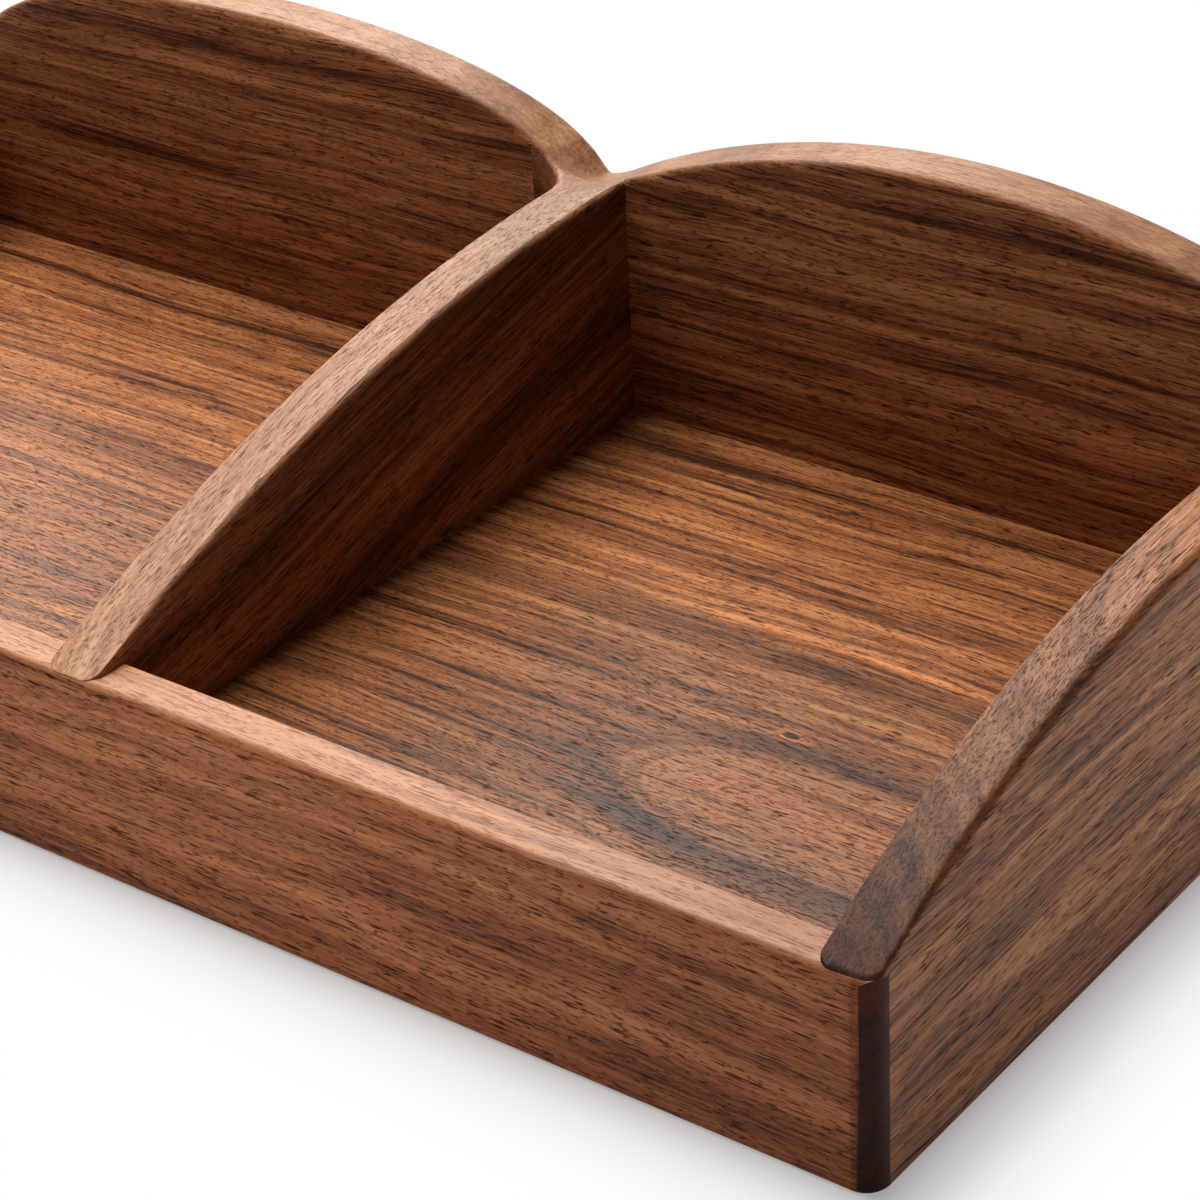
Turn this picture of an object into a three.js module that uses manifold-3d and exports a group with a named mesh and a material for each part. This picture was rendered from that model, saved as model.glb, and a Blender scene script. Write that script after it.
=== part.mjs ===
// Two-compartment valet box in solid walnut: a low front board, two swept sides, a swept divider,
// a back board with one arch per compartment, and a floor panel held in grooves.
// Millimetres, +X right, +Y to the back, +Z up, origin on the table under the middle of the box.
import * as THREE from 'three';
import { mergeVertices } from 'three/addons/utils/BufferGeometryUtils.js';
import Module from 'manifold-3d';

// Overall sizes
const LEFT_COMPARTMENT_WIDTH = 170;
const RIGHT_COMPARTMENT_WIDTH = 148;
const BOX_DEPTH = 170;
const FRONT_HEIGHT = 40.5;
const SIDE_BACK_HEIGHT = 67;
const DIVIDER_BACK_HEIGHT = 74.5;
const VALLEY_HEIGHT = 69.5;
const ARCH_HEIGHT = 90.7;

// How far in front of the back board the swept tops become level, and how far in front of it the divider
// starts to fall into the valley between the arches
const SIDE_LEVEL_RUN = 48;
const DIVIDER_LEVEL_RUN = 0;
const DIVIDER_FAIRING = 24;

// Arches of the back board. Each curve springs from inside the wood, below the top of the sides.
// Fullness 1 is a parabola and 2 a half ellipse.
const ARCH_SPRING_DEPTH = 6;
const LEFT_ARCH_HALF_SPAN = 85;
const LEFT_ARCH_FULLNESS = 2.6;
const RIGHT_ARCH_HALF_SPAN = 95;
const RIGHT_ARCH_FULLNESS = 1.2;
const ARCH_FOOT_BLEND = 3;

// Board thicknesses
const FRONT_THICKNESS = 9;
const SIDE_THICKNESS = 11;
const DIVIDER_THICKNESS = 11;
const BACK_THICKNESS = 12;

// Floor panel and the groove that holds it
const FLOOR_TOP_HEIGHT = 24;
const FLOOR_THICKNESS = 6;
const FLOOR_TONGUE = 4;
const FLOOR_EXPANSION_GAP = 0.6;
const GROOVE_HEIGHT_CLEARANCE = 0.2;

// Noses of the sides and the divider, which lap over the top of the front board
const NOSE_TIP_THICKNESS = 0.6;
const NOSE_SETBACK = 2.2;
const NOSE_CORNER_RADIUS = 2.5;

// Round-overs
const OUTER_CORNER_RADIUS = 3;
const BOTTOM_EASE = 0.8;
const FRONT_EDGE_RADIUS = 2;
const SIDE_EDGE_RADIUS = 2;
const DIVIDER_EDGE_RADIUS = 1.2;
const BACK_INNER_EDGE_RADIUS = 1.6;
const BACK_REAR_EDGE_RADIUS = 3;

// Dowel pins of the butt joints
const DOWEL_DIAMETER = 6;
const DOWEL_LENGTH = 20;
const DOWEL_CHAMFER = 0.7;
const DOWEL_DEPTH_IN_FACE = 6;
const DOWEL_RADIAL_CLEARANCE = 0.1;
const DOWEL_END_CLEARANCE = 0.5;

// Fineness of the facets
const ARC_STEPS = 40;
const ARCH_STEP = 2.5;
const FOOT_STEP = 0.5;
const FOOT_REACH = 6;
const FAIRING_STEP = 1.5;
const FILLET_STEPS = 6;
const EDGE_STEPS = 4;
const ROUND_SIDES = 24;

// How far a cutting shape runs past the board that it cuts
const OVERRUN = 12;

// Planes that the boards share
const boxWidth = LEFT_COMPARTMENT_WIDTH + RIGHT_COMPARTMENT_WIDTH + DIVIDER_THICKNESS + 2 * SIDE_THICKNESS;
const rightOuter = boxWidth / 2;
const rightInner = rightOuter - SIDE_THICKNESS;
const dividerRight = rightInner - RIGHT_COMPARTMENT_WIDTH;
const dividerLeft = dividerRight - DIVIDER_THICKNESS;
const leftOuter = -boxWidth / 2;
const leftInner = leftOuter + SIDE_THICKNESS;
const frontOuter = -BOX_DEPTH / 2;
const frontInner = frontOuter + FRONT_THICKNESS;
const backOuter = BOX_DEPTH / 2;
const backInner = backOuter - BACK_THICKNESS;
const noseFront = frontOuter + NOSE_SETBACK;
const floorUnderside = FLOOR_TOP_HEIGHT - FLOOR_THICKNESS;
const aboveEverything = ARCH_HEIGHT + OVERRUN;

const wasm = await Module();
wasm.setup();

// Turns a closed three.js geometry into a solid that can be joined and cut.
function toSolid(geometry) {
  const bare = geometry.index ? geometry.toNonIndexed() : geometry.clone();
  bare.deleteAttribute('normal');
  bare.deleteAttribute('uv');
  const merged = mergeVertices(bare, 1e-4);
  const mesh = new wasm.Mesh({
    numProp: 3,
    vertProperties: new Float32Array(merged.attributes.position.array),
    triVerts: new Uint32Array(merged.index.array),
  });
  return new wasm.Manifold(mesh);
}

// Turns a solid back into a three.js geometry with flat facets.
function toGeometry(solid) {
  const mesh = solid.getMesh();
  const geometry = new THREE.BufferGeometry();
  geometry.setAttribute('position', new THREE.BufferAttribute(new Float32Array(mesh.vertProperties), 3));
  geometry.setIndex(new THREE.BufferAttribute(new Uint32Array(mesh.triVerts), 1));
  const faceted = geometry.toNonIndexed();
  faceted.computeVertexNormals();
  return faceted;
}

// Extrudes an outline to a given thickness, with both rims rounded to edgeRadius.
function extrude(outline, thickness, edgeRadius = 0) {
  const geometry = new THREE.ExtrudeGeometry(new THREE.Shape(outline), {
    depth: thickness - 2 * edgeRadius,
    bevelEnabled: edgeRadius > 0,
    bevelThickness: edgeRadius,
    bevelSize: edgeRadius,
    bevelOffset: -edgeRadius,
    bevelSegments: EDGE_STEPS,
  });
  return geometry.translate(0, 0, edgeRadius);
}

// An outline in Y and Z, extruded from x0 to x1.
function extrudeAlongX(outline, x0, x1, edgeRadius = 0) {
  const turn = new THREE.Matrix4().makeBasis(
    new THREE.Vector3(0, 1, 0),
    new THREE.Vector3(0, 0, 1),
    new THREE.Vector3(1, 0, 0),
  );
  return toSolid(extrude(outline, x1 - x0, edgeRadius).applyMatrix4(turn).translate(x0, 0, 0));
}

// An outline in X and Z, extruded from y0 to y1.
function extrudeAlongY(outline, y0, y1, edgeRadius = 0) {
  const turn = new THREE.Matrix4().makeBasis(
    new THREE.Vector3(1, 0, 0),
    new THREE.Vector3(0, 0, 1),
    new THREE.Vector3(0, -1, 0),
  );
  return toSolid(extrude(outline, y1 - y0, edgeRadius).applyMatrix4(turn).translate(0, y1, 0));
}

// An outline in X and Y, extruded from z0 to z1.
function extrudeAlongZ(outline, z0, z1, edgeRadius = 0) {
  return toSolid(extrude(outline, z1 - z0, edgeRadius).translate(0, 0, z0));
}

function block(x0, x1, y0, y1, z0, z1) {
  const box = new THREE.BoxGeometry(x1 - x0, y1 - y0, z1 - z0);
  return toSolid(box.translate((x0 + x1) / 2, (y0 + y1) / 2, (z0 + z1) / 2));
}

function point(u, v) {
  return new THREE.Vector2(u, v);
}

// Points along a circular arc, counterclockwise unless the end angle is the smaller one.
function arc(centre, radius, startAngle, endAngle, steps) {
  const clockwise = endAngle < startAngle;
  const curve = new THREE.EllipseCurve(centre.x, centre.y, radius, radius, startAngle, endAngle, clockwise);
  return curve.getPoints(steps);
}

// A rectangle in plan with its own radius at each end of its front and back edges.
function roundedPlan(x0, x1, y0, y1, radii) {
  const corners = [
    { at: point(x0, y0), inward: point(1, 1), start: Math.PI, radius: radii.frontLeft },
    { at: point(x1, y0), inward: point(-1, 1), start: 1.5 * Math.PI, radius: radii.frontRight },
    { at: point(x1, y1), inward: point(-1, -1), start: 0, radius: radii.backRight },
    { at: point(x0, y1), inward: point(1, -1), start: 0.5 * Math.PI, radius: radii.backLeft },
  ];
  return corners.flatMap(({ at, inward, start, radius }) => {
    if (!radius) return [at];
    const centre = at.clone().addScaledVector(inward, radius);
    return arc(centre, radius, start, start + Math.PI / 2, FILLET_STEPS);
  });
}

// The outside of the whole box: upright corners rounded, bottom edge eased.
function outerBody() {
  const corner = OUTER_CORNER_RADIUS;
  const radii = { frontLeft: corner, frontRight: corner, backRight: corner, backLeft: corner };
  const plan = roundedPlan(leftOuter, rightOuter, frontOuter, backOuter, radii);
  return extrudeAlongZ(plan, 0, aboveEverything, BOTTOM_EASE);
}

// Everything under a swept top: one circular arc that leaves the front board, becomes level and runs
// into the back board, extruded from x0 to x1 with its long edges rounded.
function underSweep(x0, x1, backHeight, levelRun, edgeRadius) {
  const levelStart = backInner - levelRun;
  const run = levelStart - noseFront;
  const rise = backHeight - (FRONT_HEIGHT + NOSE_TIP_THICKNESS);
  const radius = (run * run + rise * rise) / (2 * rise);
  const centre = point(levelStart, backHeight - radius);
  const frontEnd = frontOuter - OVERRUN;
  const frontAngle = Math.PI / 2 + Math.asin((levelStart - frontEnd) / radius);
  const outline = [
    point(frontEnd, -OVERRUN),
    point(backOuter + OVERRUN, -OVERRUN),
    point(backOuter + OVERRUN, backHeight),
    ...arc(centre, radius, Math.PI / 2, frontAngle, ARC_STEPS),
  ];
  return extrudeAlongX(outline, x0, x1, edgeRadius);
}

// Everything under the swept tops of the two sides.
function underSideSweep() {
  return underSweep(leftOuter, rightOuter, SIDE_BACK_HEIGHT, SIDE_LEVEL_RUN, SIDE_EDGE_RADIUS);
}

// The room that the front board takes up, which the noses are notched around.
function frontBoardRoom() {
  return block(
    leftOuter - OVERRUN, rightOuter + OVERRUN,
    frontOuter - OVERRUN, frontInner,
    -OVERRUN, FRONT_HEIGHT,
  );
}

// The groove that runs round the inside of the four outer boards, as one flat block.
function grooveRoom() {
  const depth = FLOOR_TONGUE + FLOOR_EXPANSION_GAP;
  return block(
    leftInner - depth, rightInner + depth,
    frontInner - depth, backInner + depth,
    floorUnderside, FLOOR_TOP_HEIGHT + GROOVE_HEIGHT_CLEARANCE,
  );
}

// Joints: where each swept board meets the front and back boards, and at which heights it is pinned.
const lowerPinHeight = floorUnderside / 2;
const frontPinHeight = (FLOOR_TOP_HEIGHT + FRONT_HEIGHT) / 2;
const backPinStep = (SIDE_BACK_HEIGHT - FLOOR_TOP_HEIGHT) / 3;
const backPinHeights = {
  middle: FLOOR_TOP_HEIGHT + backPinStep,
  upper: FLOOR_TOP_HEIGHT + 2 * backPinStep,
};
const sideFrontPins = { lower: lowerPinHeight, upper: frontPinHeight };
const sideBackPins = { lower: lowerPinHeight, ...backPinHeights };
const joints = [
  { board: 'left', x: (leftOuter + leftInner) / 2, front: sideFrontPins, back: sideBackPins },
  {
    board: 'divider',
    x: (dividerLeft + dividerRight) / 2,
    front: { upper: frontPinHeight },
    back: backPinHeights,
  },
  { board: 'right', x: (rightInner + rightOuter) / 2, front: sideFrontPins, back: sideBackPins },
];

// Every dowel pin as a name and the middle of its length; part of it sits in the face of the front
// or back board, and the rest in the end grain of the swept board.
const middleFromJoint = DOWEL_LENGTH / 2 - DOWEL_DEPTH_IN_FACE;
const pins = joints.flatMap(({ board, x, front, back }) => [
  ...Object.entries(front).map(([row, z]) => ({
    name: `dowel_front_${board}_${row}`,
    centre: new THREE.Vector3(x, frontInner + middleFromJoint, z),
  })),
  ...Object.entries(back).map(([row, z]) => ({
    name: `dowel_back_${board}_${row}`,
    centre: new THREE.Vector3(x, backInner - middleFromJoint, z),
  })),
]);

// The blind holes for all the pins, as one cutting solid.
function pinHoles() {
  const radius = DOWEL_DIAMETER / 2 + DOWEL_RADIAL_CLEARANCE;
  const length = DOWEL_LENGTH + 2 * DOWEL_END_CLEARANCE;
  const holes = pins.map(({ centre }) => {
    const hole = new THREE.CylinderGeometry(radius, radius, length, ROUND_SIDES);
    return toSolid(hole.translate(centre.x, centre.y, centre.z));
  });
  return holes.reduce((all, hole) => all.add(hole));
}

// A pin with chamfered ends, turned about Y.
function dowelPin() {
  const radius = DOWEL_DIAMETER / 2;
  const end = DOWEL_LENGTH / 2;
  const profile = [
    point(0, -end),
    point(radius - DOWEL_CHAMFER, -end),
    point(radius, -end + DOWEL_CHAMFER),
    point(radius, end - DOWEL_CHAMFER),
    point(radius - DOWEL_CHAMFER, end),
    point(0, end),
  ];
  return toSolid(new THREE.LatheGeometry(profile, ROUND_SIDES));
}

// The low board across the whole front, with a round-over along its outer top edge.
function frontBoard() {
  const radius = FRONT_EDGE_RADIUS;
  const edgeCentre = point(frontOuter + radius, FRONT_HEIGHT - radius);
  const outline = [
    point(frontOuter, 0),
    point(frontInner, 0),
    point(frontInner, FRONT_HEIGHT),
    ...arc(edgeCentre, radius, Math.PI / 2, Math.PI, FILLET_STEPS),
  ];
  return extrudeAlongX(outline, leftOuter, rightOuter)
    .intersect(outerBody())
    .intersect(underSideSweep())
    .subtract(grooveRoom())
    .subtract(pinHoles());
}

// A side board: its nose laps over the front board and its inner nose corner is rounded.
function sideBoard(x0, x1, innerCorner) {
  const plan = roundedPlan(x0, x1, noseFront, backInner, { [innerCorner]: NOSE_CORNER_RADIUS });
  return extrudeAlongZ(plan, 0, aboveEverything)
    .intersect(outerBody())
    .intersect(underSideSweep())
    .subtract(frontBoardRoom())
    .subtract(grooveRoom())
    .subtract(pinHoles());
}

// The two arches of the back board, each over the middle of its compartment.
const leftArch = {
  centre: (leftInner + dividerLeft) / 2,
  halfSpan: LEFT_ARCH_HALF_SPAN,
  fullness: LEFT_ARCH_FULLNESS,
};
const rightArch = {
  centre: (dividerRight + rightInner) / 2,
  halfSpan: RIGHT_ARCH_HALF_SPAN,
  fullness: RIGHT_ARCH_FULLNESS,
};
const archSpring = SIDE_BACK_HEIGHT - ARCH_SPRING_DEPTH;
const archRise = ARCH_HEIGHT - archSpring;

function archHeight({ centre, halfSpan, fullness }, x) {
  const away = Math.min(Math.abs(x - centre) / halfSpan, 1);
  return archSpring + archRise * (1 - away * away) ** (1 / fullness);
}

// How far from its centre an arch comes down to a level.
function footDistance({ halfSpan, fullness }, level) {
  return halfSpan * Math.sqrt(1 - ((level - archSpring) / archRise) ** fullness);
}

// The higher of two heights, with a soft concave blend where they meet.
function blendedHigher(a, b) {
  const overlap = Math.max(ARCH_FOOT_BLEND - Math.abs(a - b), 0);
  return Math.max(a, b) + (overlap * overlap) / (4 * ARCH_FOOT_BLEND);
}

// The height of the back board at x: an arch, or beyond its foot the level of the valley or the side.
function backHeight(x) {
  const betweenArches = x > leftArch.centre && x < rightArch.centre;
  const level = betweenArches ? VALLEY_HEIGHT : SIDE_BACK_HEIGHT;
  return blendedHigher(blendedHigher(level, archHeight(leftArch, x)), archHeight(rightArch, x));
}

// Where the outline of the back board has its points: far apart along the arches, close together at
// their feet, and none inside a level run.
function outlineStations(x0, x1) {
  const feet = [
    leftArch.centre - footDistance(leftArch, SIDE_BACK_HEIGHT),
    leftArch.centre + footDistance(leftArch, VALLEY_HEIGHT),
    rightArch.centre - footDistance(rightArch, VALLEY_HEIGHT),
    rightArch.centre + footDistance(rightArch, SIDE_BACK_HEIGHT),
  ];
  const stations = [];
  for (let x = x0; x < x1 - FOOT_STEP; ) {
    stations.push(x);
    const atFoot = feet.some((foot) => Math.abs(x - foot) < FOOT_REACH);
    x += atFoot ? FOOT_STEP : ARCH_STEP;
  }
  stations.push(x1);
  const level = (x) => [VALLEY_HEIGHT, SIDE_BACK_HEIGHT].includes(backHeight(x));
  return stations.filter((x, n) => {
    const inside = n > 0 && n < stations.length - 1;
    return !(inside && level(stations[n - 1]) && level(x) && level(stations[n + 1]));
  });
}

// The back board's outline in X and Z, cut off level at baseHeight.
function backOutline(x0, x1, baseHeight) {
  const top = outlineStations(x0, x1).map((x) => point(x, backHeight(x)));
  return [point(x0, baseHeight), point(x1, baseHeight), ...top.reverse()];
}

// The wood above the divider's back end, where its top falls from the sweep into the outline of the back board.
function aboveFairing() {
  const x0 = dividerLeft - FAIRING_STEP;
  const x1 = dividerRight + FAIRING_STEP;
  const y0 = backInner - DIVIDER_FAIRING;
  const y1 = backInner + OVERRUN;
  const stepsAcross = Math.ceil((x1 - x0) / FAIRING_STEP);
  const stepsAlong = Math.ceil((y1 - y0) / FAIRING_STEP);
  const geometry = new THREE.BoxGeometry(x1 - x0, y1 - y0, 1, stepsAcross, stepsAlong, 1);
  geometry.translate((x0 + x1) / 2, (y0 + y1) / 2, 0);
  const corners = geometry.attributes.position;
  for (let n = 0; n < corners.count; n++) {
    const fallen = THREE.MathUtils.smoothstep(corners.getY(n), y0, backInner);
    const fairing = THREE.MathUtils.lerp(DIVIDER_BACK_HEIGHT, backHeight(corners.getX(n)), fallen);
    corners.setZ(n, corners.getZ(n) < 0 ? fairing : aboveEverything);
  }
  return toSolid(geometry);
}

// The divider: swept like the sides but higher at the back, standing on the floor panel.
function divider() {
  const radii = { frontLeft: NOSE_CORNER_RADIUS, frontRight: NOSE_CORNER_RADIUS };
  const plan = roundedPlan(dividerLeft, dividerRight, noseFront, backInner, radii);
  const sweep = underSweep(
    dividerLeft, dividerRight,
    DIVIDER_BACK_HEIGHT, DIVIDER_LEVEL_RUN, DIVIDER_EDGE_RADIUS,
  );
  return extrudeAlongZ(plan, FLOOR_TOP_HEIGHT, aboveEverything)
    .intersect(sweep)
    .subtract(aboveFairing())
    .subtract(frontBoardRoom())
    .subtract(pinHoles());
}

// The back board. Its top edges are rounded front and rear, except where the divider runs into it.
function backBoard() {
  const outline = backOutline(leftOuter - OVERRUN, rightOuter + OVERRUN, -OVERRUN);
  const meeting = block(
    dividerLeft + DIVIDER_EDGE_RADIUS, dividerRight - DIVIDER_EDGE_RADIUS,
    backInner, backInner + BACK_INNER_EDGE_RADIUS,
    0, aboveEverything,
  );
  const innerEdgeRounded = extrudeAlongY(outline, backInner, backOuter + OVERRUN, BACK_INNER_EDGE_RADIUS);
  const rearEdgeRounded = extrudeAlongY(outline, backInner - OVERRUN, backOuter, BACK_REAR_EDGE_RADIUS);
  const plain = extrudeAlongY(backOutline(leftOuter, rightOuter, 0), backInner, backOuter);
  return plain
    .intersect(innerEdgeRounded.add(meeting))
    .intersect(rearEdgeRounded)
    .intersect(outerBody())
    .subtract(grooveRoom())
    .subtract(pinHoles());
}

// The floor: one solid panel whose edges sit loose in the grooves so that it can swell and shrink.
function floorPanel() {
  return block(
    leftInner - FLOOR_TONGUE, rightInner + FLOOR_TONGUE,
    frontInner - FLOOR_TONGUE, backInner + FLOOR_TONGUE,
    floorUnderside, FLOOR_TOP_HEIGHT,
  );
}

// Oiled walnut, a redder board for the floor, and plain beech for the pins
function wood(name, color, roughness) {
  return new THREE.MeshStandardMaterial({ name, color, roughness, metalness: 0 });
}
const walnut = wood('walnut', 0x6e4329, 0.5);
const floorWalnut = wood('floor_walnut', 0x8a5330, 0.48);
const beech = wood('beech', 0xcaa678, 0.7);

const valetBox = new THREE.Group();

function addPiece(name, solid, material) {
  const mesh = new THREE.Mesh(toGeometry(solid), material);
  mesh.name = name;
  valetBox.add(mesh);
  return mesh;
}

addPiece('front_board', frontBoard(), walnut);
addPiece('back_board', backBoard(), walnut);
addPiece('left_side', sideBoard(leftOuter, leftInner, 'frontRight'), walnut);
addPiece('right_side', sideBoard(rightInner, rightOuter, 'frontLeft'), walnut);
addPiece('centre_divider', divider(), walnut);
addPiece('floor_panel', floorPanel(), floorWalnut);
for (const { name, centre } of pins) {
  addPiece(name, dowelPin(), beech).position.copy(centre);
}

export default valetBox;
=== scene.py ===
import math

import bmesh
import bpy
from mathutils import Matrix, Vector


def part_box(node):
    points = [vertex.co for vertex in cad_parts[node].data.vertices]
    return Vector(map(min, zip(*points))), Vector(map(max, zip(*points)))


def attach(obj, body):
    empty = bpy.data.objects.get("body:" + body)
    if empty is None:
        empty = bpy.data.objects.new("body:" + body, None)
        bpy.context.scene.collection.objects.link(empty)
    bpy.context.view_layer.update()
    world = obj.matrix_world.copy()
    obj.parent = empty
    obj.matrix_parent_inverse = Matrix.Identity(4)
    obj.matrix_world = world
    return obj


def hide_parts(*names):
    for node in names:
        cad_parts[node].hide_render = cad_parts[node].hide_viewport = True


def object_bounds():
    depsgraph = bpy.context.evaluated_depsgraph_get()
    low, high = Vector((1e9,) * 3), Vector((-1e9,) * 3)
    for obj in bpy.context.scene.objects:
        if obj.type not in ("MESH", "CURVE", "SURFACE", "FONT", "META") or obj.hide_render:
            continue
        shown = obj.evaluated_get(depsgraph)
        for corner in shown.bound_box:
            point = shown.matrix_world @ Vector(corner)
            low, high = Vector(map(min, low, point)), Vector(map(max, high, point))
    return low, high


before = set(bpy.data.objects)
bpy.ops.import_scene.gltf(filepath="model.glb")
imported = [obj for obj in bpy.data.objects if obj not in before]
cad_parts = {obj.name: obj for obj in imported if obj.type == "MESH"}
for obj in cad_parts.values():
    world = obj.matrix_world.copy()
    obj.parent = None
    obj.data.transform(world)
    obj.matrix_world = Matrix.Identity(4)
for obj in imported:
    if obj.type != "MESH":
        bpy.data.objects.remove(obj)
cad_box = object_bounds()


# Front board
# A low walnut board across the whole front, with a routed round-over along its outer top edge. Its ends are
# rabbeted for the sides, so that only the rounded corners show end grain. The sides and the divider are
# pinned to it and lap over its top, and the floor sits in a stopped groove in its back face.

MM = 0.001
same_place = 1e-6
weld_distance = 1e-7
front_low, front_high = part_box("front_board")
floor_low, floor_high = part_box("floor_panel")
right_low, right_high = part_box("right_side")
left_low, left_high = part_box("left_side")
front_round_over = 2 * MM
upright_corner_radius = 4.4 * MM
rabbet_depth_y = front_low.y + upright_corner_radius
overrun = 12 * MM
past_end = Vector((overrun, 0.0, 0.0))
bottom_ease = 0.8 * MM
arris_ease = 0.35 * MM
upright_steps = 12
bottom_ease_steps = 3
arris_steps = 2
round_over_sides = 64
sharp_angle = math.radians(35)
groove_slack = Vector((0.6, 0.6, 0.2)) * MM
pin_slack = Vector((0.1, 0.5, 0.1)) * MM
pin_hole_sides = 24


def block(low, high):
    """A plain rectangular blank."""
    blank = bmesh.new()
    bmesh.ops.create_cube(blank, size=1)
    bmesh.ops.scale(blank, vec=high - low, verts=blank.verts)
    bmesh.ops.translate(blank, vec=(low + high) / 2, verts=blank.verts)
    return blank


def near(first, second):
    """Whether two measures are the same."""
    return abs(first - second) < same_place


def edges_where(blank, test):
    """The edges whose two ends both pass the test."""
    return [edge for edge in blank.edges if all(test(vert.co) for vert in edge.verts)]


def round_over(blank, edges, radius, steps):
    """Rounds some edges of a blank."""
    bmesh.ops.bevel(blank, geom=edges, offset=radius, offset_type="OFFSET", segments=steps, profile=0.5,
                    affect="EDGES", material=-1, clamp_overlap=False)


def groove():
    """The room for the floor panel and the gap round it, as one flat block."""
    room = block(floor_low - groove_slack, floor_high + groove_slack)
    for vert in room.verts:
        if vert.co.z < floor_low.z:
            vert.co.z = floor_low.z
    return room


def pin_holes():
    """The blind holes for all the dowel pins, as one set of cylinders."""
    holes = bmesh.new()
    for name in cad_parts:
        if name.startswith("dowel_"):
            low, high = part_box(name)
            low, high = low - pin_slack, high + pin_slack
            radius = (high.x - low.x) / 2
            made = bmesh.ops.create_cone(holes, cap_ends=True, segments=pin_hole_sides, radius1=radius,
                                         radius2=radius, depth=high.y - low.y)
            bmesh.ops.rotate(holes, matrix=Matrix.Rotation(math.pi / 2, 3, "X"), verts=made["verts"])
            bmesh.ops.translate(holes, vec=(low + high) / 2, verts=made["verts"])
    return holes


def loose_object(name, shape):
    """A shape as an object of its own."""
    mesh = bpy.data.meshes.new(name)
    shape.to_mesh(mesh)
    shape.free()
    thing = bpy.data.objects.new(name, mesh)
    bpy.context.scene.collection.objects.link(thing)
    return thing


def cut(blank, *cutters):
    """Takes the cutters' shapes out of a blank, as a saw, a groove cutter and a drill do."""
    board = loose_object("blank", blank)
    tools = [loose_object("cutter", cutter) for cutter in cutters]
    for tool in tools:
        boolean = board.modifiers.new("cut", "BOOLEAN")
        boolean.operation = "DIFFERENCE"
        boolean.solver = "EXACT"
        boolean.object = tool
    bpy.context.view_layer.update()
    result = bmesh.new()
    result.from_object(board, bpy.context.evaluated_depsgraph_get())
    for thing in [board, *tools]:
        mesh = thing.data
        bpy.data.objects.remove(thing)
        bpy.data.meshes.remove(mesh)
    return result


def add_piece(name, shape, node, material):
    """Puts a finished shape into the scene in place of its CAD node."""
    bmesh.ops.remove_doubles(shape, verts=shape.verts, dist=weld_distance)
    bmesh.ops.recalc_face_normals(shape, faces=shape.faces)
    piece = loose_object(name, shape)
    piece.data.shade_smooth()
    piece.data.set_sharp_from_angle(angle=sharp_angle)
    flat_faces_first = piece.modifiers.new("flat_faces_first", "WEIGHTED_NORMAL")
    flat_faces_first.keep_sharp = True
    piece.data.materials.append(material)
    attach(piece, "root")
    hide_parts(node)


def tone(red, green, blue):
    """A colour as a screen shows it, 0 to 255, as a linear one."""
    shares = [value / 255 for value in (red, green, blue)]
    linear = [s / 12.92 if s <= 0.04045 else ((s + 0.055) / 1.055) ** 2.4 for s in shares]
    return (*linear, 1.0)


def step(tree, kind, inputs=None, **settings):
    """Adds one node. An input is a plain value, or the output of another node."""
    made = tree.nodes.new(kind)
    for setting, value in settings.items():
        setattr(made, setting, value)
    for socket, value in (inputs or {}).items():
        if isinstance(value, bpy.types.NodeSocket):
            tree.links.new(value, made.inputs[socket])
        else:
            made.inputs[socket].default_value = value
    return made


def maths(tree, operation, first, second=0.0, third=0.0, clamp=False):
    """One sum on numbers."""
    made = step(tree, "ShaderNodeMath", {0: first, 1: second, 2: third}, operation=operation)
    made.use_clamp = clamp
    return made.outputs[0]


def vectors(tree, operation, first, second=(0.0, 0.0, 0.0)):
    """One sum on vectors."""
    made = step(tree, "ShaderNodeVectorMath", {0: first, 1: second}, operation=operation)
    return made.outputs["Value" if operation == "LENGTH" else "Vector"]


def share(tree, value, low, high, to_low=0.0, to_high=1.0):
    """How far a value is from low to high, eased at both ends."""
    made = step(tree, "ShaderNodeMapRange", {"Value": value, "From Min": low, "From Max": high,
                                             "To Min": to_low, "To Max": to_high},
                interpolation_type="SMOOTHSTEP")
    return made.outputs["Result"]


def blended(tree, kind, amount, first, second):
    """The first colour, mixed with or multiplied by the second by an amount."""
    made = step(tree, "ShaderNodeMix", {"Factor": amount}, data_type="RGBA", blend_type=kind)
    for socket, value in ((made.inputs[6], first), (made.inputs[7], second)):
        if isinstance(value, bpy.types.NodeSocket):
            tree.links.new(value, socket)
        else:
            socket.default_value = value
    return made.outputs[2]


def noise(tree, place, detail, roughness=0.5, dimensions="3D"):
    """A noise over a place in space, or over one number."""
    socket = "W" if dimensions == "1D" else "Vector"
    return step(tree, "ShaderNodeTexNoise", {socket: place, "Scale": 1.0, "Detail": detail,
                                             "Roughness": roughness}, noise_dimensions=dimensions)


def grain_noise(tree, place, along, across, detail):
    """A noise that is stretched along the grain, with its rates per millimetre along and across it."""
    stretched = vectors(tree, "MULTIPLY", place, (along, across, across))
    return noise(tree, stretched, detail).outputs[0]


def ring_noise(tree, age, rate, detail, roughness=0.5):
    """A noise that is the same all along a growth ring, with its rate per millimetre from ring to ring."""
    return noise(tree, maths(tree, "MULTIPLY", age, rate), detail, roughness, "1D").outputs[0]


def flecks(tree, grain, length, width, faint, full):
    """Dark flecks along the grain, of about a length and width in millimetres, where a noise is high."""
    return share(tree, grain_noise(tree, grain, 1 / length, 1 / width, 1.0), faint, full)


wood_gloss = 0.1
long_pore_width = 0.36
short_pore_width = 0.28
short_pore_length = 0.4
pore_tint = tone(100, 76, 70)
soaked_dark = tone(70, 42, 32)
soaked_light = tone(112, 65, 46)


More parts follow.
